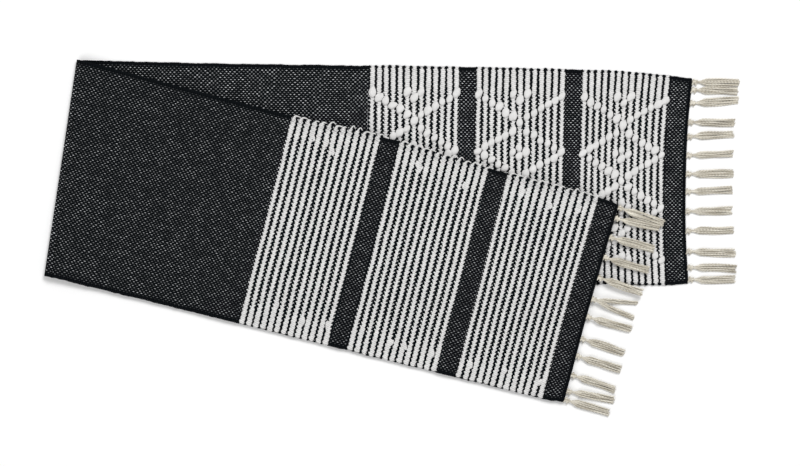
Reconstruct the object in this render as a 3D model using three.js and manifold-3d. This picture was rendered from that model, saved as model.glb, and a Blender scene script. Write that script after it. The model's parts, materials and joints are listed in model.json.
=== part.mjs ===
// Handwoven cotton table runner, folded once on a slant and laid flat.
// One long strip of cloth: a base layer, a turn at the fold, and a flap that lies back over the base.
// Both ends carry three bands of thick white ribs with raised bobbles, a black hem and knotted tassels.
//
// Millimetres, +Z up. The base layer runs along +X from the fold, and its face is up.
// The flap is built as it lies when the runner is opened out, and is then turned over the fold.
import * as THREE from 'three';
import { mergeVertices } from 'three/addons/utils/BufferGeometryUtils.js';
import Module from 'manifold-3d';

const wasm = await Module();
wasm.setup();

// ---------------------------------------------------------------- driving dimensions
const WIDTH_AT_FOLD = 315;
const WIDTH_AT_HEM = 302;
const FOLD_SLANT = THREE.MathUtils.degToRad(6.6); // fold line from square across the strip

// Lengths along the strip, from the fold outwards
const BASE = { centre: 436, band: 131, stripe: 23, hem: 31 };
const FLAP = { centre: 304, band: 136, stripe: 26, hem: 29 };
const BANDS = 3;

const CLOTH_THICKNESS = 1.6; // plain black weave
const RIB_THICKNESS = 3.4; // through a thick white rib
const RIBS_PER_BAND = 13;
const RIB_WIDTH_SHARE = 0.76; // rib width over rib spacing
const BOBBLE_HEIGHT = 2.7;
const BOBBLE_WIDTH = 8.7;
const SIDE_MARGIN = 31; // selvedge to the outermost bobbles
const CROSSES = 3; // bobbled crosses side by side in a band
const BOBBLE_BAR_STEPS = 16; // a bar of bobbles follows the bends of the flap in this many steps
const BOBBLE_WEFT_WIDTH = 2;
const BOBBLE_WEFT_HEIGHT = 1.2;

const HINGE_SETBACK = 4; // fold axis, past the ends of the two centre panels
const FIT_GAP = 0.3; // between neighbouring pieces
const BEND_GAP = 0.3; // more room under the flap's bobbles, where they cross its bends
const LAYER_GAP = 0.8; // between the bobbles of the two layers
const FOLD_STEPS = 12; // facets round the turn of the fold
const SAG_START = 2; // past the base's edge, where the flap begins to come down to the table
const SAG_RUN = 70; // width of the slope

const TASSEL_LENGTH = 66; // knot centre to cut tip
const KNOT_RADIUS = 2.6;
const NECK_RADIUS = 1.7;
const SKIRT_RADIUS = 4.5;
const SKIRT_HALF_THICKNESS = 2.5; // a tassel lies flattened by its own weight
const TASSEL_SIDES = 8;

// Knots are tied by hand at uneven places: shares of the hem, from its +Y corner
const BASE_KNOTS = [0.015, 0.055, 0.12, 0.215, 0.285, 0.375, 0.465, 0.55, 0.645, 0.74, 0.84, 0.92, 0.98];
const FLAP_KNOTS = [0.015, 0.07, 0.168, 0.269, 0.371, 0.478, 0.566, 0.676, 0.762, 0.858, 0.94, 0.985];

// ---------------------------------------------------------------- worked-out dimensions
const lengthOf = (layer) => layer.centre + BANDS * layer.band + (BANDS - 1) * layer.stripe + layer.hem;
const BOBBLE_TOP = RIB_THICKNESS + FIT_GAP + BOBBLE_HEIGHT;
const STACK_HEIGHT = 2 * BOBBLE_TOP + LAYER_GAP;
const FOLD_HEIGHT = STACK_HEIGHT / 2;
const SAG_DEPTH = BOBBLE_TOP + LAYER_GAP - BEND_GAP - FIT_GAP; // brings the flap's bobbles down to the table
// A round knot sits against the hem's top edge, which is lower than the knot's centre
const KNOT_ABOVE_HEM = Math.max(KNOT_RADIUS - CLOTH_THICKNESS, 0);
const KNOT_SEAT = Math.sqrt((KNOT_RADIUS + FIT_GAP) ** 2 - KNOT_ABOVE_HEM ** 2);

// ---------------------------------------------------------------- frames
const runner = new THREE.Group();
const baseLayer = new THREE.Group();
runner.add(baseLayer);

// The fold's own frame: its Y axis is the fold line
const fold = new THREE.Group();
fold.rotation.z = -FOLD_SLANT;
runner.add(fold);

// Turned half a circle about the fold axis, the opened-out flap lies back over the base
const foldAxis = new THREE.Group();
foldAxis.position.set(-HINGE_SETBACK, 0, FOLD_HEIGHT);
foldAxis.rotation.y = Math.PI;
fold.add(foldAxis);

const flapLayer = new THREE.Group();
flapLayer.position.set(-HINGE_SETBACK, 0, -FOLD_HEIGHT);
flapLayer.rotation.z = FOLD_SLANT;
foldAxis.add(flapLayer);
runner.updateMatrixWorld(true);

// ---------------------------------------------------------------- materials
const cotton = (color, roughness) => new THREE.MeshStandardMaterial({ color, roughness, metalness: 0 });
const BLACK_COTTON = cotton(0x1c1e23, 0.9);
const WHITE_COTTON = cotton(0xe2e4e6, 0.85);
const BOBBLE_COTTON = cotton(0xf0f1f3, 0.85);
const NATURAL_COTTON = cotton(0xc2bba8, 0.9);

// ---------------------------------------------------------------- the strip
// A layer runs from the fold at x = 0 towards side = +1 or -1. Its two selvedges draw in evenly.
function halfWidth(layer, x) {
  const share = Math.min(Math.abs(x) / lengthOf(layer), 1);
  return THREE.MathUtils.lerp(WIDTH_AT_FOLD, WIDTH_AT_HEM, share) / 2;
}

function named(name, geometry, material) {
  const mesh = new THREE.Mesh(geometry, material);
  mesh.name = name;
  return mesh;
}

// How far the flap has come down at a point of its own layer, and where across it a given drop begins
function pastEdge(x, y) {
  const point = flapLayer.localToWorld(new THREE.Vector3(x, y, 0));
  return -halfWidth(BASE, point.x) - point.y;
}

function sagAt(layer, x, y) {
  if (layer !== FLAP) {
    return 0;
  }
  return SAG_DEPTH * THREE.MathUtils.clamp((pastEdge(x, y) - SAG_START) / SAG_RUN, 0, 1);
}

function bendAt(x, past) {
  const edge = halfWidth(FLAP, x) - FIT_GAP;
  const change = pastEdge(x, 1) - pastEdge(x, 0);
  return THREE.MathUtils.clamp((past - pastEdge(x, 0)) / change, -edge, edge);
}

// Rows across a layer, from its +Y selvedge: the flap has two more, where its slope starts and ends
function rowsAt(layer, x) {
  const edge = halfWidth(layer, x);
  if (layer !== FLAP) {
    return [edge, -edge];
  }
  const top = bendAt(x, SAG_START);
  const foot = Math.min(bendAt(x, SAG_START + SAG_RUN), top - FIT_GAP / 2);
  return [edge, top, foot, -edge];
}

// A woven piece: its outline along the strip, carried across from selvedge to selvedge.
// slant leans the end that lies on the fold.
function woven(layer, outline, slant = 0) {
  const steps = rowsAt(layer, 0).length - 1;
  const geometry = new THREE.ExtrudeGeometry(new THREE.Shape(outline), { depth: 1, steps, bevelEnabled: false });
  const point = geometry.getAttribute('position');
  for (let i = 0; i < point.count; i += 1) {
    const x = point.getX(i);
    const y = rowsAt(layer, x)[Math.round(point.getZ(i) * steps)];
    const lean = Math.abs(x) < FIT_GAP * 2 ? y * slant : 0;
    point.setXYZ(i, x + lean, y, point.getY(i) + sagAt(layer, x, y));
  }
  return geometry;
}

function plainPiece(layer, side, from, to, slant) {
  const ends = [side * (from + FIT_GAP / 2), side * (to - FIT_GAP / 2)].sort((a, b) => a - b);
  const outline = [
    new THREE.Vector2(ends[0], 0),
    new THREE.Vector2(ends[1], 0),
    new THREE.Vector2(ends[1], CLOTH_THICKNESS),
    new THREE.Vector2(ends[0], CLOTH_THICKNESS),
  ];
  return woven(layer, outline, slant);
}

// Plain weave from the slanting fold to the first rib band
function centrePanel(layer, side) {
  return plainPiece(layer, side, FIT_GAP / 2, layer.centre, Math.tan(FOLD_SLANT));
}

// ---------------------------------------------------------------- rib bands
// One corrugated plate: thick wefts stand out on both faces of the woven core
function ribBand(layer, side, start) {
  const length = layer.band - FIT_GAP;
  const from = side > 0 ? start + FIT_GAP / 2 : -(start + layer.band) + FIT_GAP / 2;
  const spacing = length / RIBS_PER_BAND;
  const core = CLOTH_THICKNESS / 2;
  const crest = RIB_THICKNESS / 2;
  const top = [new THREE.Vector2(from, core)];
  for (let rib = 0; rib < RIBS_PER_BAND; rib += 1) {
    const centre = from + (rib + 0.5) * spacing;
    const foot = (spacing * RIB_WIDTH_SHARE) / 2;
    top.push(new THREE.Vector2(centre - foot, core), new THREE.Vector2(centre - foot / 2, crest));
    top.push(new THREE.Vector2(centre + foot / 2, crest), new THREE.Vector2(centre + foot, core));
  }
  top.push(new THREE.Vector2(from + length, core));
  const bottom = top.map((point) => new THREE.Vector2(point.x, -point.y)).reverse();
  const geometry = woven(layer, [...top, ...bottom]);
  return geometry.translate(0, 0, RIB_THICKNESS / 2);
}

// ---------------------------------------------------------------- bobbles
function toSolid(geometry) {
  geometry.deleteAttribute('normal');
  geometry.deleteAttribute('uv');
  const merged = mergeVertices(geometry);
  return new wasm.Manifold(
    new wasm.Mesh({
      numProp: 3,
      vertProperties: new Float32Array(merged.getAttribute('position').array),
      triVerts: new Uint32Array(merged.getIndex().array),
    }),
  );
}

function toGeometry(solid) {
  const mesh = solid.getMesh();
  const geometry = new THREE.BufferGeometry();
  geometry.setAttribute('position', new THREE.BufferAttribute(mesh.vertProperties, 3));
  geometry.setIndex(new THREE.BufferAttribute(mesh.triVerts, 1));
  geometry.computeVertexNormals();
  return geometry;
}

function bar(from, to, width, height) {
  const run = to.clone().sub(from);
  const geometry = new THREE.BoxGeometry(run.length(), width, height, BOBBLE_BAR_STEPS, 1, 1);
  geometry.translate(0, 0, height / 2);
  geometry.rotateZ(run.angle());
  return geometry.translate((from.x + to.x) / 2, (from.y + to.y) / 2, 0);
}

function lozenge(x, y, halfLength, halfBreadth) {
  const outline = [
    new THREE.Vector2(x - halfLength, y),
    new THREE.Vector2(x, y - halfBreadth),
    new THREE.Vector2(x + halfLength, y),
    new THREE.Vector2(x, y + halfBreadth),
  ];
  const depth = BOBBLE_HEIGHT - FIT_GAP;
  return new THREE.ExtrudeGeometry(new THREE.Shape(outline), { depth, bevelEnabled: false });
}

// Lifts each corner of a piece by the layer's own height there
function followLayer(geometry, layer) {
  const point = geometry.getAttribute('position');
  for (let i = 0; i < point.count; i += 1) {
    point.setZ(i, point.getZ(i) + sagAt(layer, point.getX(i), point.getY(i)));
  }
  return geometry;
}

// The white weft that is pulled up into bobbles: a row of crosses, with a small lozenge in each diamond
// between them. It is one yarn, so the band of bobbles is one solid, seated on the ribs.
function bobbleWeft(layer, side, start) {
  const spacing = layer.band / RIBS_PER_BAND;
  const middle = side * (start + layer.band / 2);
  const reach = ((RIBS_PER_BAND - 1) / 2) * spacing;
  const outer = halfWidth(layer, middle) - SIDE_MARGIN;
  const crossWidth = (2 * outer) / CROSSES;
  const pieces = [];
  for (let cross = 0; cross < CROSSES; cross += 1) {
    const y = -outer + (cross + 0.5) * crossWidth;
    for (const slope of [1, -1]) {
      const low = new THREE.Vector2(middle - reach, y - (slope * crossWidth) / 2);
      const high = new THREE.Vector2(middle + reach, y + (slope * crossWidth) / 2);
      pieces.push(bar(low, high, BOBBLE_WIDTH, BOBBLE_HEIGHT));
    }
  }
  for (let row = 0; row <= CROSSES; row += 1) {
    const inward = -Math.sign(row - CROSSES / 2);
    const atEdge = row === 0 || row === CROSSES;
    const y = -outer + row * crossWidth + (atEdge ? (inward * BOBBLE_WIDTH) / 2 : 0);
    const breadth = atEdge ? BOBBLE_WIDTH / 2 : BOBBLE_WIDTH;
    pieces.push(lozenge(middle, y, 1.5 * spacing, breadth));
  }
  const weftEnd = outer - BOBBLE_WIDTH / 2;
  const ends = [new THREE.Vector2(middle, -weftEnd), new THREE.Vector2(middle, weftEnd)];
  pieces.push(bar(...ends, BOBBLE_WEFT_WIDTH, BOBBLE_WEFT_HEIGHT));
  const solids = pieces.map((piece) => toSolid(followLayer(piece, layer)));
  return toGeometry(solids.reduce((whole, piece) => whole.add(piece)));
}

// ---------------------------------------------------------------- tassels
// Warp ends tied in a round knot, then hanging free to a blunt cut tip. The knot centre is the origin.
function tassel() {
  const profile = [
    new THREE.Vector2(0, -KNOT_RADIUS),
    new THREE.Vector2(KNOT_RADIUS * 0.8, -KNOT_RADIUS * 0.6),
    new THREE.Vector2(KNOT_RADIUS, 0),
    new THREE.Vector2(NECK_RADIUS, KNOT_RADIUS),
    new THREE.Vector2(SKIRT_RADIUS * 0.8, TASSEL_LENGTH * 0.3),
    new THREE.Vector2(SKIRT_RADIUS, TASSEL_LENGTH * 0.7),
    new THREE.Vector2(SKIRT_RADIUS * 0.9, TASSEL_LENGTH),
    new THREE.Vector2(0, TASSEL_LENGTH),
  ];
  const geometry = new THREE.LatheGeometry(profile, TASSEL_SIDES);
  geometry.rotateZ(-Math.PI / 2);
  const point = geometry.getAttribute('position');
  for (let i = 0; i < point.count; i += 1) {
    if (point.getX(i) >= KNOT_RADIUS) {
      point.setZ(i, (point.getZ(i) * SKIRT_HALF_THICKNESS) / SKIRT_RADIUS);
    }
  }
  return geometry;
}

// Droop that brings a flap tassel's tip down to what it lies on: the base where the knot is over it,
// and the table past the base's edge
function droop(layer, x, y) {
  if (layer !== FLAP) {
    return 0;
  }
  const restingOn = pastEdge(x, y) < 0 ? BOBBLE_TOP : 0;
  const knot = STACK_HEIGHT - KNOT_RADIUS - sagAt(layer, x, y);
  const tip = restingOn + FIT_GAP + SKIRT_HALF_THICKNESS;
  return Math.asin((knot - tip) / TASSEL_LENGTH);
}

function addTassels(group, prefix, layer, side, knots) {
  const x = side * (lengthOf(layer) - FIT_GAP / 2 + KNOT_SEAT);
  knots.forEach((share, index) => {
    const y = halfWidth(layer, x) * (1 - 2 * share);
    const mesh = named(`${prefix}_tassel_${String(index + 1).padStart(2, '0')}`, tassel(), NATURAL_COTTON);
    mesh.position.set(x, y, KNOT_RADIUS + sagAt(layer, x, y));
    mesh.rotation.set(0, -droop(layer, x, y), side > 0 ? 0 : Math.PI, 'ZYX');
    group.add(mesh);
  });
}

// ---------------------------------------------------------------- a layer
function addCloth(group, prefix, layer, side) {
  group.add(named(`${prefix}_centre_panel`, centrePanel(layer, side), BLACK_COTTON));
  let start = layer.centre;
  for (let band = 1; band <= BANDS; band += 1) {
    const bobbles = named(`${prefix}_bobble_weft_${band}`, bobbleWeft(layer, side, start), BOBBLE_COTTON);
    bobbles.position.z = RIB_THICKNESS + FIT_GAP + (layer === FLAP ? BEND_GAP : 0);
    group.add(named(`${prefix}_rib_band_${band}`, ribBand(layer, side, start), WHITE_COTTON), bobbles);
    start += layer.band;
    const last = band === BANDS;
    const width = last ? layer.hem : layer.stripe;
    const name = last ? `${prefix}_end_hem` : `${prefix}_black_stripe_${band}`;
    group.add(named(name, plainPiece(layer, side, start, start + width), BLACK_COTTON));
    start += width;
  }
}

// The half turn of plain weave that joins the two layers, along the fold
function foldTurn() {
  const section = new THREE.Shape();
  section.absarc(0, 0, FOLD_HEIGHT, Math.PI / 2, (3 * Math.PI) / 2, false);
  section.absarc(0, 0, FOLD_HEIGHT - CLOTH_THICKNESS, (3 * Math.PI) / 2, Math.PI / 2, true);
  const length = WIDTH_AT_FOLD / Math.cos(FOLD_SLANT);
  const options = { depth: length, bevelEnabled: false, curveSegments: FOLD_STEPS };
  const geometry = new THREE.ExtrudeGeometry(section, options);
  geometry.translate(0, 0, -length / 2);
  geometry.rotateX(Math.PI / 2);
  return geometry;
}

// ---------------------------------------------------------------- the runner
addCloth(baseLayer, 'base', BASE, 1);
addTassels(baseLayer, 'base', BASE, 1, BASE_KNOTS);
const turn = named('fold_turn', foldTurn(), BLACK_COTTON);
turn.position.z = FOLD_HEIGHT;
fold.add(turn);
addCloth(flapLayer, 'flap', FLAP, -1);
addTassels(flapLayer, 'flap', FLAP, -1, FLAP_KNOTS);

// Origin: the middle of the folded runner's footprint, on the table
runner.updateMatrixWorld(true);
const box = new THREE.Box3().setFromObject(runner, true);
const centre = box.getCenter(new THREE.Vector3());
runner.position.set(-centre.x, -centre.y, -box.min.z);
runner.updateMatrixWorld(true);

export default runner;
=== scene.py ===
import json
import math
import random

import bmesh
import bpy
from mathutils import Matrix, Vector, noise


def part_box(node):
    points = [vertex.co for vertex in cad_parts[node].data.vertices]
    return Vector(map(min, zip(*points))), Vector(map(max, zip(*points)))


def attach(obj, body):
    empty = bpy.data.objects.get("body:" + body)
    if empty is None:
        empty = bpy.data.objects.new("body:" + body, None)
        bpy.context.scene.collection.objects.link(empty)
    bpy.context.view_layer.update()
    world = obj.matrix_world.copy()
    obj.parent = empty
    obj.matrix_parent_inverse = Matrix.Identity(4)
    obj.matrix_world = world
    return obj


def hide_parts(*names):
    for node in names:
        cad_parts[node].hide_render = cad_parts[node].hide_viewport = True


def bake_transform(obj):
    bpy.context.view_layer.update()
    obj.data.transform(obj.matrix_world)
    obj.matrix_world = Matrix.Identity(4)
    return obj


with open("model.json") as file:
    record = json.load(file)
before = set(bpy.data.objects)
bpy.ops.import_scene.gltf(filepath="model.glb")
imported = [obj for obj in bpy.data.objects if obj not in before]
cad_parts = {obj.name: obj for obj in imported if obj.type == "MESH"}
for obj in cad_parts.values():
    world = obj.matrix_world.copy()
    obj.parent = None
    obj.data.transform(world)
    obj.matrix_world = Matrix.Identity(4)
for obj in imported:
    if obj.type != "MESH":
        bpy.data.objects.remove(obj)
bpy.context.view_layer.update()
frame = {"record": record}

# %% [markdown]
# # A handwoven cotton table runner, folded once
#
# The runner is one long strip of black cotton. Near each end it carries three bands of thick
# white ribs, and on the face of those bands small white bobbles are pulled up in crosses. Both
# ends finish in knotted tassels of the undyed warp. The strip lies folded: the longer part, the
# base, lies face up on the table, and the shorter part, the flap, is turned over it.
#
# The measured model is already loaded. Each step below makes one kind of piece by hand, says
# which measured parts it stands for, and says which layer or tassel it moves with.

MM = 0.001

# %% [markdown]
# ## The camera
#
# A runner is best shown as a plan, so the camera looks straight down. It is turned by a little
# over a degree, because the strip doesn't lie quite square to the view. A long
# lens held high keeps the two ends at the same scale; a wide lens held low would show the far
# ends smaller and lean the tassels outwards.

# %% Camera, looking straight down
joints = {joint["name"]: joint for joint in frame["record"]["behaviour"]["joints"]}
HINGE_SETBACK = 4 * MM
hinge = joints["flap_fold"]
fold_line = -Vector(hinge["axis"])
into_strip = fold_line.cross(Vector((0, 0, 1)))
fold_mid = (Vector(hinge["pos_m"]) + into_strip * HINGE_SETBACK).to_2d()

VIEW_WIDTH = 1.163
VIEW_FROM_FOLD = (0.4905, -0.0840)
VIEW_TURN = math.radians(1.2)
camera_data = bpy.data.cameras.new("plan_camera")
camera_data.lens, camera_data.sensor_width = 85, 36
camera = bpy.data.objects.new("plan_camera", camera_data)
bpy.context.collection.objects.link(camera)
camera.location = (
    fold_mid.x + VIEW_FROM_FOLD[0],
    fold_mid.y + VIEW_FROM_FOLD[1],
    VIEW_WIDTH * camera_data.lens / camera_data.sensor_width,
)
camera.rotation_euler = (0, 0, VIEW_TURN)
bpy.context.scene.camera = camera
print("fold at", [round(x, 4) for x in fold_mid], "camera height", round(camera.location.z, 3))

# %% [markdown]
# ## The table and the light
#
# Black and white cloth side by side need soft light: a hard lamp would burn out the bobbles and
# leave the black weave without any grain. One very large lamp hangs to one side, so that every
# rib has a lighter and a darker flank, and a pale sky from all around fills the rest. The table
# is plain and nearly white.

# %% Table, lamps and sky
SKY_STRENGTH = 0.46
TABLE_DROP = 0.0003
TABLE_HALF = 6
bpy.context.scene.view_settings.view_transform = "Standard"


def link(name, data):
    made = bpy.data.objects.new(name, data)
    bpy.context.collection.objects.link(made)
    return made


def lamp(name, place, size, power):
    light = bpy.data.lights.new(name, "AREA")
    light.shape, light.size, light.energy = "DISK", size, power
    made = link(name, light)
    made.location = place
    made.rotation_euler = (-Vector(place)).to_track_quat("-Z", "Y").to_euler()


lamp("window_lamp", (0.85, 1.8, 3.0), 1.6, 84)
lamp("fill_lamp", (-1.6, -1.9, 3.0), 2.6, 42)

sky = bpy.data.worlds.new("studio_sky")
sky.use_nodes = True
sky.node_tree.nodes["Background"].inputs["Color"].default_value = (1, 1, 1, 1)
sky.node_tree.nodes["Background"].inputs["Strength"].default_value = SKY_STRENGTH
bpy.context.scene.world = sky

sheet_of_table = bmesh.new()
bmesh.ops.create_grid(sheet_of_table, x_segments=1, y_segments=1, size=TABLE_HALF)
bmesh.ops.translate(sheet_of_table, vec=(0, 0, -TABLE_DROP), verts=sheet_of_table.verts)
table_mesh = bpy.data.meshes.new("table_top")
sheet_of_table.to_mesh(table_mesh)
sheet_of_table.free()
table_top = link("table_top", table_mesh)

# %% [markdown]
# ## Writing materials as sums
#
# Every finish here is a pattern worked out from where a point lies on the cloth. Such a pattern
# could be wired by hand in the shader editor, but a weave needs dozens of small sums. The class
# below wraps one output of a node, so that `1 - dots` or `fibres * 0.3` writes the nodes itself.

# %% A value on its way through a material
class Wire:
    def __init__(self, tree, socket=None):
        self.tree, self.socket = tree, socket

    def node(self, kind, settings=None, inputs=None, output=0):
        made = self.tree.nodes.new(kind)
        for key, value in (settings or {}).items():
            setattr(made, key, value)
        for key, value in (inputs or {}).items():
            if isinstance(key, int):
                socket = made.inputs[key]
            else:
                socket = next(s for s in made.inputs if key in (s.identifier, s.name))
            if isinstance(value, Wire):
                self.tree.links.new(value.socket, socket)
            else:
                socket.default_value = value
        return Wire(self.tree, made.outputs[output])

    def maths(self, operation, *values):
        return self.node("ShaderNodeMath", {"operation": operation}, dict(enumerate(values)))

    def __add__(self, other):
        return self.maths("ADD", self, other)

    def __sub__(self, other):
        return self.maths("SUBTRACT", self, other)

    def __rsub__(self, other):
        return self.maths("SUBTRACT", other, self)

    def __mul__(self, other):
        return self.maths("MULTIPLY", self, other)

    def __truediv__(self, other):
        return self.maths("DIVIDE", self, other)

    def __mod__(self, other):
        return self.maths("FLOORED_MODULO", self, other)

    __radd__ = __add__
    __rmul__ = __mul__

    def floor(self):
        return self.maths("FLOOR", self)

    def squared(self):
        return self.maths("MULTIPLY", self, self)

    def size(self):
        return self.maths("ABSOLUTE", self)

    def cosine(self):
        return self.maths("COSINE", self)

    def fades(self, start, end):
        """1 below start, 0 above end, and a smooth step between them."""
        inputs = {"Value": self, "From Min": start, "From Max": end, "To Min": 1.0, "To Max": 0.0}
        return self.node("ShaderNodeMapRange", {"interpolation_type": "SMOOTHSTEP"}, inputs)

    def point(self, x, y, z):
        return self.node("ShaderNodeCombineXYZ", None, {0: x, 1: y, 2: z})

    def grain(self, place, scale, detail=2.0):
        return self.node("ShaderNodeTexNoise", None, {"Vector": place, "Scale": scale, "Detail": detail})

    def chance(self, place):
        return self.node("ShaderNodeTexWhiteNoise", {"noise_dimensions": "3D"}, {"Vector": place})

    def blend(self, share, low, high):
        inputs = {"Factor_Float": share, "A_Color": low, "B_Color": high}
        return self.node("ShaderNodeMix", {"data_type": "RGBA"}, inputs, output=2)


def grey(value, warmth=0.0):
    return (value * (1 + warmth), value, value * (1 - warmth), 1.0)


# %% A cotton finish, ready for its pattern
def cotton(name, roughness, sheen, gloss=0.25):
    material = bpy.data.materials.new(name)
    material.use_nodes = True
    shader = material.node_tree.nodes["Principled BSDF"]
    shader.inputs["Roughness"].default_value = roughness
    shader.inputs["Specular IOR Level"].default_value = gloss
    shader.inputs["Sheen Weight"].default_value = sheen
    shader.inputs["Sheen Roughness"].default_value = 0.6
    return material, Wire(material.node_tree), shader


def colour_and_relief(wire, shader, colour, height, depth):
    """Feeds the pattern's colour and its height, 0 to 1, to the cotton. depth is in metres."""
    inputs = {"Height": height, "Distance": depth, "Strength": 1.0}
    relief = wire.node("ShaderNodeBump", None, inputs)
    wire.tree.links.new(colour.socket, shader.inputs["Base Color"])
    wire.tree.links.new(relief.socket, shader.inputs["Normal"])


def on_cloth(wire):
    """Where a point lies on the flat strip: along it, across it and through it, in mm."""
    place = wire.node("ShaderNodeAttribute", {"attribute_name": "strip"}, output=1)
    split = wire.node("ShaderNodeSeparateXYZ", None, {0: place})
    along, across, through = (Wire(wire.tree, s) for s in split.socket.node.outputs)
    return place, along, across, through


# %% [markdown]
# ## The two layers, drawn flat
#
# Cloth is designed flat, so every woven piece here is drawn flat too: u runs along the strip
# from the fold, v across it and h up through it, in mm. One function then lays a flat point on
# the table. The base goes down as it is. The flap is the same drawing turned over along the fold
# line, and it comes down to the table where it passes the base's edge. Building straight in the
# final place would work as well, but then each rib and bobble would need its own slant and slope.
#
# The same function draws in the two selvedges, hollows the hem between its corners, and adds the
# small unevenness of a hand loom, so all pieces stay together.

# %% How a flat point is laid on the table
DRAWN_HALF = 155.0
HALF_AT_FOLD, HALF_AT_HEM = 157.5, 151.0
FOLD_SLANT = math.tan(math.radians(6.6))
STACK_HEIGHT = 13.6
SAG_DEPTH, SAG_START, SAG_RUN = 6.6, 2.0, 70.0
CENTRE_DIP = 4.5
BAND_SLOPE = 2
HEM_SHARE = 0.78
WOBBLE, FINE_WOBBLE, LEAN, RIPPLE = 1.1, 0.7, 1.2, 0.25
CORNER_ROUNDING = 2.2
BASE_LENGTH = 906
RIBS = 13


def smooth(low, high, x):
    t = min(max((x - low) / (high - low), 0.0), 1.0)
    return t * t * (3 - 2 * t)


def mirrored_in_fold(direction):
    return direction - 2 * direction.dot(fold_line.to_2d()) * fold_line.to_2d()


class Layer:
    def __init__(self, name, centre, band, stripe, hem, turned, stretch, hollow, skew, shoulder):
        self.name, self.body, self.turned = name, f"{name}_layer", turned
        self.centre, self.band, self.stripe, self.hem = centre, band, stripe, hem
        self.length = centre + 3 * band + 2 * stripe + hem
        self.band_starts = [centre + n * (band + stripe) for n in range(3)]
        self.pitch = band / RIBS
        self.stretch, self.hollow, self.skew, self.shoulder = stretch, hollow, skew, shoulder
        self.along, self.aside = Vector((1, 0)), Vector((0, 1))
        if turned:
            self.along = mirrored_in_fold(self.along)
            self.aside = -mirrored_in_fold(self.aside)

    def fold_edge(self, v):
        return v * FOLD_SLANT * (-1 if self.turned else 1)

    def in_band(self, u):
        """1 inside a ribbed band, 0 in plain cloth, with a short slope between them."""
        ends = [(start, start + self.band) for start in self.band_starts]
        return max(
            smooth(low - BAND_SLOPE, low + BAND_SLOPE, u) - smooth(high - BAND_SLOPE, high + BAND_SLOPE, u)
            for low, high in ends
        )

    def half_width(self, u):
        share = min(max(u / self.length, 0.0), 1.0)
        return HALF_AT_FOLD + (HALF_AT_HEM - HALF_AT_FOLD) * share

    def at(self, u, v, h):
        """Where the flat point u, v, h, in mm, lies on the table, in metres."""
        share = v / DRAWN_HALF
        at_hem = smooth(HEM_SHARE * self.length, self.length, u)
        drawn_out = self.stretch * smooth(0.4 * self.centre, self.centre + 60, u)
        drawn_out += (self.skew * share - self.hollow * (1.2 - share * share)) * at_hem
        wobble = noise.noise(Vector((u * 0.035, share * 2 + 7, 5.0))) * WOBBLE
        wobble += noise.noise(Vector((u * 0.15, share * 2 + 3, 9.0))) * FINE_WOBBLE
        edge = self.half_width(u) * share + wobble * abs(share) ** 3 * (1 if share > 0 else -1)
        corner = CORNER_ROUNDING * smooth(self.length - 26, self.length + 2, u) * share ** 3
        rise, top, fall, foot, height = self.shoulder
        lift = height * max(share, 0.0) ** 2 * smooth(rise, top, u) * (1 - smooth(fall, foot, u))
        lean = noise.noise(Vector((u * 0.012, share * 1.3, 1.5))) * LEAN * smooth(20, 90, u)
        flat = fold_mid + ((u + drawn_out + lean) * self.along + (edge - corner + lift) * self.aside) * MM
        ripple = RIPPLE * (1 + noise.noise(Vector((u * 0.02, v * 0.022, 3.0))))
        if not self.turned:
            return Vector((flat.x, flat.y, (max(h, 0.05) + ripple) * MM))
        base_u, base_v = (flat - fold_mid) / MM
        past = -(HALF_AT_FOLD + (HALF_AT_HEM - HALF_AT_FOLD) * base_u / BASE_LENGTH) - base_v
        down = smooth(SAG_START - 4, SAG_START + SAG_RUN + 4, past)
        dip = CENTRE_DIP * smooth(10, 110, u) * (1 - smooth(215, 292, u)) * (1 - 0.6 * down)
        z = STACK_HEIGHT - h - SAG_DEPTH * down - dip - ripple * 0.6
        return Vector((flat.x, flat.y, max(z, 0.15) * MM))


base = Layer("base", 436, 131, 23, 31, False, 5.5, 7.0, 0.0, (100, 700, 780, BASE_LENGTH, 6.0))
flap = Layer("flap", 304, 136, 26, 29, True, -3.0, 1.0, 3.0, (300, 425, 450, 600, 4.5))
for layer in (base, flap):
    print(layer.name, "length", layer.length, "bands from", layer.band_starts)
    print(layer.name, "rib spacing", round(layer.pitch, 2))

# %% Laying a drawn mesh on the table
def lay_out(mesh, layer):
    """Keeps each point's flat place as the attribute strip, then moves it onto the table."""
    count = len(mesh.vertices)
    drawn = [0.0] * count * 3
    mesh.vertices.foreach_get("co", drawn)
    strip = mesh.attributes.new("strip", "FLOAT_VECTOR", "POINT")
    strip.data.foreach_set("vector", drawn)
    laid = []
    for i in range(0, count * 3, 3):
        laid.extend(layer.at(*drawn[i : i + 3]))
    mesh.vertices.foreach_set("co", laid)
    if layer.turned:
        mesh.flip_normals()
    mesh.update()


def finish(name, mesh, material, body=None, replaced=()):
    mesh.polygons.foreach_set("use_smooth", [True] * len(mesh.polygons))
    mesh.materials.append(material)
    piece = link(name, mesh)
    if body:
        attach(piece, body)
    if replaced:
        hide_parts(*replaced)
    mesh.calc_loop_triangles()
    print(name, "triangles", len(mesh.loop_triangles))
    return piece


# %% [markdown]
# ## The black weave
#
# The ground is plain weave: a thick black weft crosses a thin off-white warp, and the warp shows
# as small dots, one on every other crossing, like the squares of one colour on a chessboard. The
# dots differ in brightness because some ends are pulled deeper than others. As there are many
# thousands of crossings, a pattern is the right tool: the strip is divided into cells as wide as
# one crossing, each second cell gets a dot, and all cells swell a little so that the light
# catches the yarns. The black of each cell is also painted lighter on its crest and darker towards
# its edges, as painted light and shade. Close to the selvedge and the hem the beaten-up weft hides
# the warp.

# %% Black plain weave with warp dots
WEFT_STEP, WARP_STEP = 2.96, 2.85
YARN_GRAIN = (1.6, 0.5)
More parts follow.
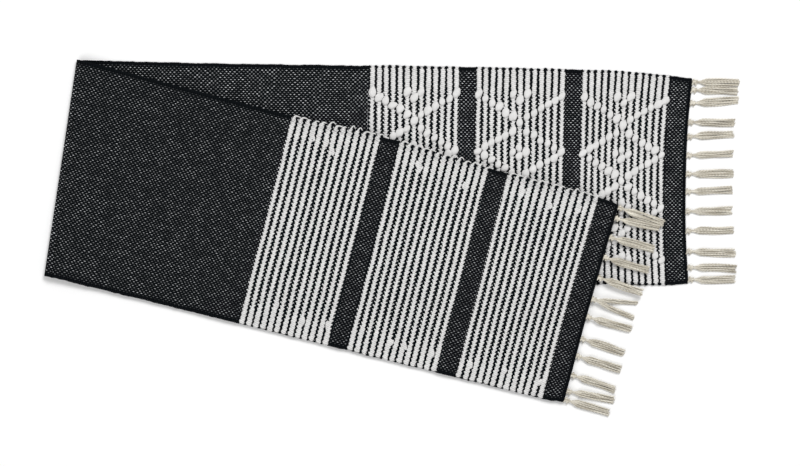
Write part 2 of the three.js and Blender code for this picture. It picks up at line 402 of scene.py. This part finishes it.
# In black_weave the lighter black is also painted light on the crests of the cells, and the darker black
# painted shade in the pits; elsewhere the two only vary the yarn's tone.
BLACK_DEEP_AND_PIT_SHADE, BLACK_WORN_AND_CREST_LIGHT = grey(0.0004, -0.2), grey(0.0125, -0.2)
DOT_LIGHT = {"base": 0.88, "flap": 0.56}


def crossings(wire, along, across, place):
    """The cell that a point is in, and where in the cell it is, from -0.5 to 0.5."""
    sway = wire.grain(place, 0.06, 1.0)
    u = (along + sway * 5.0) / WEFT_STEP
    v = across / WARP_STEP
    column, row = u.floor(), v.floor()
    return column, row, u - column - 0.5, v - row - 0.5


def black_weave(layer):
    material, wire, shader = cotton(f"black_weave_{layer.name}", 0.95, 0.0, 0.015)
    place, along, across, _ = on_cloth(wire)
    column, row, x, y = crossings(wire, along, across, place)
    every_other = (column + row) % 2
    spread = (x / 0.46).squared() + (y / 0.17).squared()
    dot = every_other * spread.fades(0.5, 1.2)
    cell = wire.point(column, row, 0.0)
    bright = wire.chance(cell)
    worn = wire.grain(place, 0.05, 3.0)
    shown = dot * (0.26 + 0.74 * bright * bright) * (0.3 + 1.1 * worn)
    inside = across.size().fades(DRAWN_HALF - 7.0, DRAWN_HALF - 4.6)
    before_hem = along.fades(layer.length - 5.0, layer.length - 3.2)
    shown = shown * inside * before_hem
    twist = wire.grain(wire.point(along * YARN_GRAIN[0], across * YARN_GRAIN[1], 0.0), 1.0, 3.0)
    swell = (1 - 4 * x.squared()) * (1 - 2.6 * y.squared())
    # Painted light and shade: each cell's black is lighter on its crest and darker towards its edges,
    # besides the twist's random tone.
    yarn = wire.blend(swell * 0.6 + twist * 0.5 - 0.15, BLACK_DEEP_AND_PIT_SHADE, BLACK_WORN_AND_CREST_LIGHT)
    colour = wire.blend(shown, yarn, grey(DOT_LIGHT[layer.name], -0.02))
    colour_and_relief(wire, shader, colour, swell * 0.8 + twist * 0.3, 0.9 * MM)
    return material


MARGIN = 37.0
TOOTH_ASIDE, TOOTH_LENGTH, TOOTH_HEIGHT = 2.2, 1.15, 0.30


def rib_ground(layer):
    """Between the ribs the warp shows as white teeth, left and right in turn."""
    material, wire, shader = cotton(f"rib_ground_{layer.name}", 0.95, 0.0, 0.015)
    place, along, across, _ = on_cloth(wire)
    row = (across / WARP_STEP).floor()
    y = across / WARP_STEP - row - 0.5
    side = (row % 2) * 2 - 1
    rib = ((along - layer.centre) % (layer.band + layer.stripe)) / layer.pitch + 0.5
    gap = (rib - rib.floor() - 0.5) * layer.pitch
    uneven = wire.chance(wire.point(rib.floor(), row, 0.0)) - 0.5
    spread = ((gap - side * TOOTH_ASIDE + uneven * 1.1) / TOOTH_LENGTH).squared()
    spread = spread + (y / (TOOTH_HEIGHT + 0.2 * uneven)).squared()
    tooth = spread.fades(0.6, 1.2)
    if not layer.turned:
        tooth = tooth * across.size().fades(DRAWN_HALF - MARGIN, DRAWN_HALF - MARGIN + 6)
    twist = wire.grain(wire.point(along * YARN_GRAIN[0], across * YARN_GRAIN[1], 0.0), 1.0, 3.0)
    yarn = wire.blend(twist, BLACK_DEEP_AND_PIT_SHADE, BLACK_WORN_AND_CREST_LIGHT)
    colour = wire.blend(tooth, yarn, grey(0.72, 0.0))
    colour_and_relief(wire, shader, colour, tooth * 0.7 + twist * 0.3, 0.6 * MM)
    return material


weaves = {layer.name: (black_weave(layer), rib_ground(layer)) for layer in (base, flap)}
print("weaves", [m.name for pair in weaves.values() for m in pair])

# %% [markdown]
# ## The ground cloth
#
# One sheet of cloth runs under everything, from the fold to the hem. It is drawn as a fine flat
# grid, given its thickness with the solidify operator, and laid on the table. In the bands it
# rides a little higher, because it passes through the middle of the thick ribs. A simulation
# could drape it, but this cloth lies flat on a table, so its small dips and waves are placed
# by the laying function instead.

# %% Ground cloth of both layers
CLOTH = 1.4
PLAIN_MIDDLE, BAND_MIDDLE = 0.85, 1.75
FOLD_START = 6.0


def ground_middle(layer, u):
    return PLAIN_MIDDLE + (BAND_MIDDLE - PLAIN_MIDDLE) * layer.in_band(u)


def ground_cloth(layer):
    bm = bmesh.new()
    across_steps = 64
    bmesh.ops.create_grid(bm, x_segments=layer.length // 3, y_segments=across_steps, size=1.0)
    for vert in bm.verts:
        share, v = (vert.co.x + 1) / 2, vert.co.y * DRAWN_HALF
        start = layer.fold_edge(v) + FOLD_START
        straight = FOLD_START + (layer.length - FOLD_START) * share
        u = straight + (start - FOLD_START) * (1 - smooth(0, 0.3, share))
        vert.co = (u, v, ground_middle(layer, u) - CLOTH / 2)
    bmesh.ops.recalc_face_normals(bm, faces=bm.faces)
    bmesh.ops.solidify(bm, geom=bm.faces[:], thickness=CLOTH)
    low = min(v.co.z for v in bm.verts)
    bmesh.ops.translate(bm, vec=(0, 0, (PLAIN_MIDDLE - CLOTH / 2) - low), verts=bm.verts)
    bmesh.ops.recalc_face_normals(bm, faces=bm.faces)
    for face in bm.faces:
        u = face.calc_center_median().x
        face.material_index = int(layer.in_band(u) > 0.5)
    mesh = bpy.data.meshes.new(f"{layer.name}_ground")
    bm.to_mesh(mesh)
    bm.free()
    lay_out(mesh, layer)
    parts = ("centre_panel", "black_stripe_1", "black_stripe_2", "end_hem")
    replaced = [f"{layer.name}_{part}" for part in parts]
    weave, gaps = weaves[layer.name]
    piece = finish(f"{layer.name}_ground", mesh, weave, layer.body, replaced)
    mesh.materials.append(gaps)
    return piece


grounds = {layer.name: ground_cloth(layer) for layer in (base, flap)}

# %% [markdown]
# ## The fold
#
# At the fold the cloth makes a half turn. This is a separate small sheet, attached to neither
# layer: its lower edge meets the base and its upper edge meets the flap. It is made from one line
# of points across the strip, spun round a horizontal axis, then given its thickness.

# %% The half turn between the layers
TURN_REACH = 8.8
TURN_STEPS = 14


def fold_cloth():
    bm = bmesh.new()
    bmesh.ops.create_grid(bm, x_segments=TURN_STEPS, y_segments=96, size=1.0)
    middle = STACK_HEIGHT / 2
    radius = middle - PLAIN_MIDDLE
    flat_places = {}
    for vert in bm.verts:
        turn, v = vert.co.x * math.pi / 2, vert.co.y * DRAWN_HALF
        reach = FOLD_START - (TURN_REACH - 2.2 * vert.co.y) * math.cos(turn)
        u = base.fold_edge(v) + reach
        laid = base.at(u, v, 0)
        laid.z = (middle + radius * math.sin(turn)) * MM
        if turn > 0:
            over = flap.at(flap.fold_edge(v) + reach, v, 0)
            laid.x, laid.y = over.x, over.y
        flat_places[vert.index] = (reach if turn < 0 else -reach, v, 0.0)
        vert.co = laid
    return bm, flat_places


turn_bm, turn_places = fold_cloth()
turn_mesh = bpy.data.meshes.new("fold_cloth")
turn_bm.to_mesh(turn_mesh)
turn_bm.free()
turn_strip = turn_mesh.attributes.new("strip", "FLOAT_VECTOR", "POINT")
turn_strip.data.foreach_set("vector", [c for i in range(len(turn_mesh.vertices)) for c in turn_places[i]])
turn_piece = finish("fold_cloth", turn_mesh, weaves["base"][0], None, ["fold_turn"])
thickness = turn_piece.modifiers.new("thickness", "SOLIDIFY")
thickness.thickness, thickness.offset = CLOTH * MM, 0.0
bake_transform(turn_piece)

# %% [markdown]
# ## Cords
#
# Ribs, edge cords, hooks and tassel yarns are all cords: a round yarn that follows a line and is
# thicker in some places. A curve with a bevel and a radius at each of its points makes exactly
# that, and many cords can share one curve. It is turned into a mesh straight away, because the
# layers' drawing is laid out point by point. The caps at a cord's ends come out as loose discs,
# so they are merged with the tube, which closes it.

# %% Many cords as one mesh
CAP_SEAM = 0.001


def cords(name, lines, roundness, seam=CAP_SEAM):
    """lines are (points, radii) pairs. roundness 1 gives cords of six sides, 2 of eight, 3 of ten."""
    curve = bpy.data.curves.new(name, "CURVE")
    curve.dimensions, curve.bevel_depth, curve.bevel_resolution = "3D", 1.0, roundness
    curve.use_fill_caps = True
    for points, radii in lines:
        spline = curve.splines.new("POLY")
        spline.points.add(len(points) - 1)
        spline.points.foreach_set("co", [c for point in points for c in (*point, 1.0)])
        spline.points.foreach_set("radius", radii)
    holder = link(name + "_line", curve)
    graph = bpy.context.evaluated_depsgraph_get()
    mesh = bpy.data.meshes.new_from_object(holder.evaluated_get(graph), depsgraph=graph)
    bpy.data.objects.remove(holder)
    bpy.data.curves.remove(curve)
    mesh.name = name
    mesh.materials.clear()
    bm = bmesh.new()
    bm.from_mesh(mesh)
    bmesh.ops.remove_doubles(bm, verts=bm.verts, dist=seam)
    bmesh.ops.recalc_face_normals(bm, faces=bm.faces)
    bm.to_mesh(mesh)
    bm.free()
    return mesh


# %% [markdown]
# ## White cotton
#
# The ribs are soft, barely twisted cotton roving, so close up one sees long fibres running along
# the rib. Wherever a warp end binds it down the rib is pinched into a groove, and a slightly darker
# line is painted there as painted shade. The bobbles are the same roving pulled up from the
# binding, cleaner and whiter. Both finishes are a fibre grain that is stretched along the yarn.

# %% Finishes for ribs and bobbles
BINDING_SLANT = 0.22


def white_roving(name, dark, light, groove_and_shade_strength):
    material, wire, shader = cotton(name, 0.88, 0.12)
    place, along, across, through = on_cloth(wire)
    fibre = wire.grain(wire.point(along * 2.4, across * 0.45, through * 2.4), 1.0, 4.0)
    patches = wire.grain(place, 0.09, 2.0)
    turn = (across + along * BINDING_SLANT) * (2 * math.pi / WARP_STEP)
    deep = wire.grain(place, 0.35, 1.0)
    # Painted shade: a slightly darker, slanted line across the rib at each binding, where the rib is
    # pinched into a groove; the same groove also feeds the relief.
    groove_and_painted_shade = (0.5 - turn.cosine() * 0.5) * (groove_and_shade_strength * 2) * deep
    shade = fibre * 0.8 + patches * 0.5 - groove_and_painted_shade
    colour = wire.blend(shade, grey(dark, 0.01), grey(light, 0.01))
    colour_and_relief(wire, shader, colour, fibre * 0.8 - groove_and_painted_shade, 0.8 * MM)
    return material


rib_white = white_roving("rib_roving", 0.44, 0.94, 0.38)
bobble_white = white_roving("bobble_roving", 0.50, 0.80, 0.0)

# %% [markdown]
# ## The ribs
#
# Thirteen thick ribs lie across each band. Near the selvedges, where the weft turns back on
# itself, they are fat and closely bound, like a stack of rings. Between the bobbles they are
# slimmer, and the teeth of the warp push them a little left and right in turn. Each rib is one
# cord whose radius swells between two bindings; the round cord is then pressed flatter, as
# beaten-up roving is.

# %% Thirteen ribs for each band
RIB_MIDDLE = 1.78
RIB_PRESSED = 0.5
FAT, FAT_REVERSE, SLIM = 3.75, 3.6, 2.9
RAGGED = 13.0
FLARE = 0.22
SLUBS, SWELLS = 0.15, 0.10


def rib_line(layer, start, number, rng):
    centre = start + (number + 0.5) * layer.pitch
    end = DRAWN_HALF + rng.uniform(-0.5, 0.7)
    points, radii = [], []
    steps = int(2 * end / (WARP_STEP / 3))
    width = rng.uniform(0.95, 1.05)
    fat = FAT_REVERSE if layer.turned else FAT
    ragged = RAGGED if layer.turned else 0.0
    fat_ends = {side: MARGIN - 2.5 + rng.uniform(-ragged, ragged * 0.6) for side in (-1, 1)}
    for i in range(steps + 1):
        v = -end + 2 * end * i / steps
        from_edge = DRAWN_HALF - abs(v)
        fat_end = fat_ends[1 if v > 0 else -1]
        margin = 1 - smooth(fat_end - 4, fat_end + 4, from_edge)
        bead = 0.5 + 0.5 * math.cos(2 * math.pi * v / WARP_STEP)
        swing = math.cos(math.pi * v / WARP_STEP) * (0.42 - 0.22 * margin)
        drift = noise.noise(Vector((v * 0.03, number * 3.1, start))) * 0.7
        radius = SLIM + (fat - SLIM) * margin
        radius *= width * (0.83 + (0.21 + 0.08 * margin) * bead)
        if layer.turned and v < 0:
            radius *= 1 + FLARE * (1 - smooth(2.5, 8.5, from_edge))
        radius *= 1 + SLUBS * noise.noise(Vector((v * 0.22, number * 5.7, start)))
        radius *= 1 + SWELLS * noise.noise(Vector((v * 0.06, number * 9.1, start)))
        rounding = min((end - abs(v)) / 2.6, 1.0)
        radii.append(radius * max(math.sqrt(1 - (1 - rounding) ** 2), 0.3))
        points.append((centre + swing + drift, v, RIB_MIDDLE))
    return points, radii


def rib_band(layer, number):
    rng = random.Random(10 * number + layer.turned)
    start = layer.band_starts[number - 1]
    lines = [rib_line(layer, start, rib, rng) for rib in range(RIBS)]
    mesh = cords(f"{layer.name}_ribs_{number}", lines, 3)
    for vert in mesh.vertices:
        vert.co.z = RIB_MIDDLE + (vert.co.z - RIB_MIDDLE) * RIB_PRESSED
    lay_out(mesh, layer)
    node = f"{layer.name}_rib_band_{number}"
    return finish(mesh.name, mesh, rib_white, layer.body, [node])


ribs = {layer.name: [rib_band(layer, n) for n in (1, 2, 3)] for layer in (base, flap)}

# %% [markdown]
# ## The bobbles
#
# On the face of each band the roving is pulled up over the warp in small loops. They are set in
# three crosses side by side, with a small diamond between two crosses and a little crown at each
# margin. A bobble is an egg that leans along its row. It starts as an icosphere, whose points
# are evenly spread, and it is made narrower at one end. No two are alike, but the
# random numbers are seeded, so the same bobbles come out each time.

# %% Where the bobbles sit
CROSS_ROWS = (118.5, 37.5, -41.0, -119.0)
ARM_STEPS = (0.0, 6.7, 12.4, 18.0, 24.2, 30.2)
ARM_END = 39.5
MIDDLE_RIB = RIBS // 2


def bobble_places():
    """(rib, v) of each bobble in a band, counted from the fold and from the strip's middle."""
    places = []
    for upper, lower in zip(CROSS_ROWS, CROSS_ROWS[1:]):
        half = (upper - lower) / 2
        for rib, step in enumerate(ARM_STEPS):
            for side in (rib, RIBS - 1 - rib):
                places.append((side, upper - step))
                places.append((side, lower + step))
        places.append((MIDDLE_RIB, (upper + lower) / 2 + max(half - ARM_END, 0.0)))
    for row in CROSS_ROWS[1:-1]:
        places += [(MIDDLE_RIB, row + 6.4), (MIDDLE_RIB, row - 6.4)]
        places += [(MIDDLE_RIB - 1, row), (MIDDLE_RIB + 1, row)]
    for row, inward in ((CROSS_ROWS[0], -1), (CROSS_ROWS[-1], 1)):
        places += [(MIDDLE_RIB - 1, row + 1), (MIDDLE_RIB + 1, row + 1.5)]
        places.append((MIDDLE_RIB, row + inward * 6.5))
    apart = []
    for rib, v in places:
        if all(r != rib or abs(v - w) > 3 for r, w in apart):
            apart.append((rib, v))
    return apart


print("bobbles in a band", len(bobble_places()))

# %% Bobbles of one band
BOBBLE_HALF = Vector((5.0, 7.2, 2.6))
BOBBLE_TALLEST = 2.7
BOBBLE_MIDDLE = 3.75
BOBBLE_LEAN, LEAN_SPREAD = 24, 13


def stretch_of(rib):
    """Bobbles on the two outer ribs are a little longer than the others."""
    return 1.04 if rib in (0, RIBS - 1) else 0.97


def bobbles(layer, number):
    rng = random.Random(100 + 10 * number + layer.turned)
    start = layer.band_starts[number - 1]
    bm = bmesh.new()
    for rib, v in bobble_places():
        size = rng.uniform(0.84, 1.14)
        lean = Matrix.Rotation(-math.radians(rng.gauss(BOBBLE_LEAN, LEAN_SPREAD)), 4, "Z")
        half = BOBBLE_HALF * size
        made = bmesh.ops.create_icosphere(bm, subdivisions=3, radius=1.0)["verts"]
        pinch = rng.uniform(0.05, 0.2) * rng.choice((-1, 1, 1))
        for vert in made:
            vert.co.x *= half.x * (1 - pinch * vert.co.y) * (1 - 0.22 * vert.co.y ** 2)
            vert.co.y *= half.y * stretch_of(rib)
            vert.co.z *= min(half.z, BOBBLE_TALLEST)
            swell = noise.noise(vert.co * 0.3 + Vector((rib, v, number)))
            vert.co *= 1 + 0.16 * swell
        u = start + (rib + 0.5) * layer.pitch + rng.uniform(-0.5, 0.5)
        place = (u, v + rng.uniform(-0.8, 0.8), BOBBLE_MIDDLE)
        bmesh.ops.transform(bm, matrix=Matrix.Translation(place) @ lean, verts=made)
    mesh = bpy.data.meshes.new(f"{layer.name}_bobbles_{number}")
    bm.to_mesh(mesh)
    bm.free()
    lay_out(mesh, layer)
    node = f"{layer.name}_bobble_weft_{number}"
    return finish(mesh.name, mesh, bobble_white, layer.body, [node])


bobbled = {layer.name: [bobbles(layer, n) for n in (1, 2, 3)] for layer in (base, flap)}

# %% [markdown]
# ## The edges
#
# At each selvedge the black weft turns round the outermost warp end, which makes a firm beaded
# cord. Between two ribs the turn stands out as a small loop. Across the hem the last picks of
# weft are beaten up into a similar cord. One line runs down one selvedge, along the hem and
# back up the other, swelling at each turn of the weft.

# %% Black edge cords
def black_yarn():
    material, wire, shader = cotton("black_edge_yarn", 0.95, 0.0, 0.015)
    place, along, across, _ = on_cloth(wire)
    twist = wire.grain(place, 1.3, 3.0)
    colour = wire.blend(twist, BLACK_DEEP_AND_PIT_SHADE, BLACK_WORN_AND_CREST_LIGHT)
    colour_and_relief(wire, shader, colour, twist, 0.5 * MM)
    return material


edge_black = black_yarn()
EDGE_RADIUS = 1.25
EDGE_STEP = 0.9


def edge_point(layer, u, side):
    banded = layer.in_band(u)
    between = 1.0
    if banded > 0.5:
        start = max(s for s in layer.band_starts if s <= u + 1)
        between = smooth(-0.1, 0.8, math.cos(2 * math.pi * (u - start) / layer.pitch))
    loop = 0.2 if layer.turned and side < 0 else 0.9
    v = DRAWN_HALF - 2.6 + (1.6 + loop * banded) * between
    return (u, side * v, ground_middle(layer, u) + 0.15)


def edge_cord(layer):
    points, radii = [], []

    def add(point, travelled):
        points.append(point)
        radii.append(EDGE_RADIUS * (0.86 + 0.22 * abs(math.sin(math.pi * travelled / WEFT_STEP))))

    start, end = layer.fold_edge(DRAWN_HALF) + FOLD_START, layer.length - 0.8
    steps = int((end - start) / EDGE_STEP)
    for i in range(steps + 1):
        add(edge_point(layer, start + (end - start) * i / steps, 1), i * EDGE_STEP)
    across = int(2 * (DRAWN_HALF - 3) / EDGE_STEP)
    for i in range(across + 1):
        v = (DRAWN_HALF - 3) * (1 - 2 * i / across)
        add((layer.length - 0.2, v, PLAIN_MIDDLE + 0.15), i * EDGE_STEP)
    start = layer.fold_edge(-DRAWN_HALF) + FOLD_START
    steps = int((end - start) / EDGE_STEP)
    for i in range(steps + 1):
        add(edge_point(layer, end + (start - end) * i / steps, -1), i * EDGE_STEP)
    mesh = cords(f"{layer.name}_edge_cord", [(points, radii)], 2)
    lay_out(mesh, layer)
    return finish(mesh.name, mesh, edge_black, layer.body)


edges = {layer.name: edge_cord(layer) for layer in (base, flap)}

# %% [markdown]
# ## The flap's far selvedge
#
# On the reverse one sees how the white roving travels from one rib to the next: at the far
# selvedge each rib curls over to the right in a small hook, round the black loop beside it. At
# the margins a few ends of roving are also left lying on the back, as flat lumps between two
# ribs. The hooks are tapering cords, the lumps are flattened icospheres.

# %% White hooks along the selvedge
HOOK_SHAPE = (
    (-0.4, -7.0, 0.6), (0.0, -3.2, 0.0), (1.1, 0.4, 0.0), (3.2, 2.6, 0.3),
    (5.7, 3.1, 0.8), (8.2, 2.3, 1.4), (10.2, 0.8, 2.0),
)
HOOK_RADII = (2.4, 2.3, 1.6, 1.15, 0.95, 0.8, 0.4)


def smoothed(line):
    """Puts two more points between each two of a line, on a smooth curve through them all."""
    points, radii = line
    vectors = [Vector(p) for p in points]
    out, thick = [], []
    for i in range(len(vectors) - 1):
        before, a = vectors[max(i - 1, 0)], vectors[i]
        b, after = vectors[i + 1], vectors[min(i + 2, len(vectors) - 1)]
        for t in (0.0, 1 / 3, 2 / 3):
            out.append(a + (b - a) * t + (b - before - (after - a)) * 0.5 * t * (1 - t) * 0.5)
            thick.append(radii[i] + (radii[i + 1] - radii[i]) * t)
    return out + [vectors[-1]], thick + [radii[-1]]


def hooks(layer):
    rng = random.Random(5)
    lines = []
    for start in layer.band_starts:
        for rib in range(RIBS):
            u = start + (rib + 0.5) * layer.pitch
            reach = rng.choice((0.45, 0.7, 0.85, 1.0, 1.1)) * rng.uniform(0.9, 1.05)
            rise = rng.uniform(0.1, 1.6)
            thick = rng.uniform(0.75, 1.05)
            points = [
                (u + x * reach, DRAWN_HALF + y * (rise if y > 0 else 1), z) for x, y, z in HOOK_SHAPE
            ]
            lines.append((points, [radius * thick for radius in HOOK_RADII]))
    mesh = cords(f"{layer.name}_selvedge_hooks", [smoothed(line) for line in lines], 2)
    lay_out(mesh, layer)
    return finish(mesh.name, mesh, rib_white, layer.body)


flap_hooks = hooks(flap)


# %% Flat lumps of roving on the back
LUMPS_PER_SIDE = 3


def lumps(layer):
    rng = random.Random(8)
    bm = bmesh.new()
    for start in layer.band_starts:
        for side in (1, -1):
            for gap in rng.sample(range(1, RIBS), LUMPS_PER_SIDE):
                shift, from_edge = rng.choice((-2.6, -2.0, -0.6, 2.0)), rng.uniform(20, 38)
                place = (start + gap * layer.pitch + shift, side * (DRAWN_HALF - from_edge), 1.5)
                made = bmesh.ops.create_icosphere(bm, subdivisions=3, radius=1.0)["verts"]
                size = Vector((rng.uniform(2.2, 3.4), rng.uniform(5.0, 8.0), 1.7))
                for vert in made:
                    vert.co = vert.co * size * (1 + 0.3 * noise.noise(vert.co * 1.6 + Vector(place)))
                lean = Matrix.Rotation(math.radians(rng.uniform(-30, 30)), 4, "Z")
                bmesh.ops.transform(bm, matrix=Matrix.Translation(place) @ lean, verts=made)
    mesh = bpy.data.meshes.new(f"{layer.name}_roving_lumps")
    bm.to_mesh(mesh)
    bm.free()
    lay_out(mesh, layer)
    return finish(mesh.name, mesh, rib_white, layer.body)


flap_lumps = lumps(flap)

# %% [markdown]
# ## Undyed cotton for the tassels
#
# The warp is undyed cotton, so the tassels are a warm beige. Their finish has two grains: long
# streaks along the yarns, which tell one yarn from the next, and a fine one for the fibres. The
# streaks are partly each yarn's own tone and partly painted light and shade: lighter streaks stand
# for highlights along the yarns and darker ones for shade between them. The streaks follow the
# direction in which the layer's tassels hang, so each layer has its own copy.

# %% Natural cotton yarn
NATURAL_DARK, NATURAL_LIGHT = (0.27, 0.23, 0.165, 1), (0.84, 0.805, 0.71, 1)


def natural_yarn(layer):
    material, wire, shader = cotton(f"natural_yarn_{layer.name}", 0.85, 0.1)
    place = wire.node("ShaderNodeTexCoord", output=3)
    split = wire.node("ShaderNodeSeparateXYZ", None, {0: place})
    x, y, z = (Wire(wire.tree, s) for s in split.socket.node.outputs)
    along = x * layer.along.x + y * layer.along.y
    aside = y * layer.along.x - x * layer.along.y
    # Painted light and shade: light and dark streaks along the yarns, partly each yarn's own tone and
    # partly highlights along the yarns and shade between them.
    streaks_and_painted_light = wire.grain(wire.point(along * 35.0, aside * 620.0, z * 500.0), 1.0, 2.0)
    fine = wire.grain(place, 1500.0, 2.0)
    shade = streaks_and_painted_light * 2.1 + fine * 0.3 - 0.64
    colour = wire.blend(shade, NATURAL_DARK, NATURAL_LIGHT)
    colour_and_relief(wire, shader, colour, fine, 0.3 * MM)
    return material


natural = {layer.name: natural_yarn(layer) for layer in (base, flap)}

# %% [markdown]
# ## The tassels
#
# At each end the warp is gathered in bunches. Every bunch is tied in a knot against the hem and
# hangs out in seven or eight yarns, each twisted from two plies. One tassel of the flap has
# parted in two, and has nine. The yarns leave the knot through
# a narrow neck, spread, and are cut off straight. Each ply is a cord wound round the yarn's own
# line. A tassel moves by itself, so each one is a piece of its own.

# %% One yarn of two plies
PLY_RADIUS = 0.74 * MM
PLY_OFFSET = 0.60 * MM
TWIST_LENGTH = 9.5 * MM


def two_plies(line, phase):
    """line is a list of points. Returns two cords that wind round it."""
    found = []
    for ply in (0, math.pi):
        points, travelled = [], 0.0
        for i, point in enumerate(line):
            ahead = (line[min(i + 1, len(line) - 1)] - line[max(i - 1, 0)]).normalized()
            beside = ahead.cross(Vector((0, 0, 1))).normalized()
            above = beside.cross(ahead)
            travelled += (point - line[max(i - 1, 0)]).length
            angle = travelled / TWIST_LENGTH * 2 * math.pi + phase + ply
            points.append(point + (beside * math.cos(angle) + above * math.sin(angle)) * PLY_OFFSET)
        found.append((points, [PLY_RADIUS] * len(points)))
    return found


# %% One tassel: its knot and its yarns
TASSEL_LENGTH = 66 * MM
SKIRT_HALF = 5.2 * MM
KNOT_TURNS = ((-2.0, 3.6, 1.5), (0.5, 3.9, -1.6), (3.1, 2.3, 0.5))
KNOT_FLATNESS = 0.42
KNOT_PLY = 1.3 * MM
YARN_STEPS = 44


def knot(centre, ahead, rng):
    """Turns of yarn round the bunch, with the bunch itself swelling inside them."""
    beside = Vector((-ahead.y, ahead.x, 0)).normalized()
    up = ahead.cross(beside)
    lines = []
    for turn, (place, radius, slant) in enumerate(KNOT_TURNS):
        ring = []
        tilt = slant * rng.uniform(0.5, 1.1)
        for i in range(15):
            angle = 2 * math.pi * i / 13.6 + turn
            out = (beside * math.cos(angle) + up * math.sin(angle) * KNOT_FLATNESS) * radius * MM
            ring.append(centre + ahead * (place + tilt * math.cos(angle)) * MM + out)
        lines.append((ring, [KNOT_PLY] * len(ring)))
    core = [centre + ahead * x * MM for x in (-3.7, -2.4, 0, 2.8, 6.0)]
    lines.append((core, [r * MM for r in (1.2, 2.6, 3.0, 2.3, 1.2)]))
    return lines


def yarn_lines(centre, ahead, tip_height, rng, share, count):
    """The yarns of a tassel from its knot to the cut, side by side and in two rows."""
    beside = Vector((-ahead.y, ahead.x, 0)).normalized()
    lines = []
    bow = rng.uniform(-2.2, 2.2) * MM
    length = TASSEL_LENGTH * rng.uniform(0.96, 1.02)
    for yarn in range(count):
        row = yarn % 2
        place = (yarn + 0.5) / count * 2 - 1 + rng.uniform(-0.08, 0.08)
        cut = length + rng.uniform(-1.6, 1.2) * MM
        wave, phase = rng.uniform(0.3, 1.1) * MM, rng.uniform(0, 6)
        line = []
        for i in range(YARN_STEPS + 1):
            t = i / YARN_STEPS
            open_out = 0.12 + 0.88 * smooth(0.05, 0.27, t)
            aside = place * SKIRT_HALF * share * open_out
            aside += wave * math.sin(phase + 5 * t) * smooth(0.15, 0.6, t) + bow * t * t
            height = centre.z + (tip_height - centre.z) * smooth(0.0, 0.75, t)
            height += (0.95 if row else -0.75) * MM * smooth(0.02, 0.3, t)
            at = centre + ahead * (2.2 * MM + (cut - 2.2 * MM) * t) + beside * aside
            line.append(Vector((at.x, at.y, height)))
        lines += two_plies(line, rng.uniform(0, 2 * math.pi))
    return lines


def tassel(layer, node, fans, number):
    """fans are (angle from the strip's direction in degrees, share of the width, yarns)."""
    rng = random.Random(300 + number + 50 * layer.turned)
    pivot = Vector(joints[f"{node}_swing"]["pos_m"])
    offset = (pivot.to_2d() - fold_mid) / MM
    u = offset.dot(layer.along)
    v = offset.dot(layer.aside) * DRAWN_HALF / layer.half_width(u)
    centre = layer.at(u + 1.6, v, 0)
    centre.z = pivot.z
    lowest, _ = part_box(node)
    tip_height = lowest.z + 2.1 * MM
    lines = []
    for index, (angle, share, count) in enumerate(fans):
        ahead = layer.along.copy()
        ahead.rotate(Matrix.Rotation(math.radians(angle), 2))
        ahead = Vector((ahead.x, ahead.y, 0))
        if index == 0:
            lines += knot(centre, ahead, rng)
        lines += yarn_lines(centre, ahead, tip_height, rng, share, count)
    mesh = cords(f"{node}_yarns", lines, 1, CAP_SEAM * MM)
    return finish(mesh.name, mesh, natural[layer.name], node, [node])


# %% Tassels of both ends
BASE_ANGLES = (0.8, 0.2, 3.2, 0.8, 5.0, 2.5, 1.8, 2.6, 0.6, 2.8, -0.8, 1.2, 0.0)
FLAP_ANGLES = (-4.2, 0.4, -0.9, -2.7, -3.4, None, -2.9, -3.0, -4.4, -2.8, 3.7, -2.2)
SPLIT = ((9.6, 0.55, 4), (-12.2, 0.6, 5))

tassels = []
for layer, angles in ((base, BASE_ANGLES), (flap, FLAP_ANGLES)):
    for number, angle in enumerate(angles, start=1):
        fans = SPLIT if angle is None else ((angle, 1.0, 7 + number % 2),)
        tassels.append(tassel(layer, f"{layer.name}_tassel_{number:02d}", fans, number))
print("tassels", len(tassels))

# %% [markdown]
# ## Warp ends at the hem
#
# The bunches don't start at the knot: their ends come out of the weave a little to each side of
# it and lean in to the knot. These short pieces stay with the cloth.

# %% Short warp ends that lean into each knot
def warp_ends(layer):
    rng = random.Random(40 + layer.turned)
    lines = []
    for name, joint in joints.items():
        if not name.startswith(f"{layer.name}_tassel"):
            continue
        offset = (Vector(joint["pos_m"]).to_2d() - fold_mid) / MM
        v = offset.dot(layer.aside) * DRAWN_HALF / layer.half_width(layer.length)
        for spread in (-5.5, -3.2, -1.0, 1.2, 3.4, 5.6):
            out = v + spread + rng.uniform(-0.8, 0.8)
            out = min(max(out, 1.5 - DRAWN_HALF), DRAWN_HALF - 1.5)
            start = (layer.length - 1.6, out, PLAIN_MIDDLE)
            middle = (layer.length + 0.6, v + (out - v) * 0.6, 1.1)
            end = (layer.length + 2.4, v + (out - v) * 0.1, 2.2)
            lines.append(((start, middle, end), (0.55, 0.6, 0.55)))
    mesh = cords(f"{layer.name}_warp_ends", [smoothed(line) for line in lines], 1)
    lay_out(mesh, layer)
    return finish(mesh.name, mesh, natural[layer.name], layer.body)


ends = {layer.name: warp_ends(layer) for layer in (base, flap)}

# %% [markdown]
# ## The table's finish
#
# The table top gets a nearly white paint with a faint mottle.

# %% The table's finish
table_paint, table_wire, table_shader = cotton("table_paint", 0.85, 0.0)
mottle = table_wire.grain(table_wire.node("ShaderNodeTexCoord", output=3), 1.5, 2.0)
tint = table_wire.blend(mottle, grey(0.90), grey(0.92))
table_wire.tree.links.new(tint.socket, table_shader.inputs["Base Color"])
table_mesh.materials.append(table_paint)
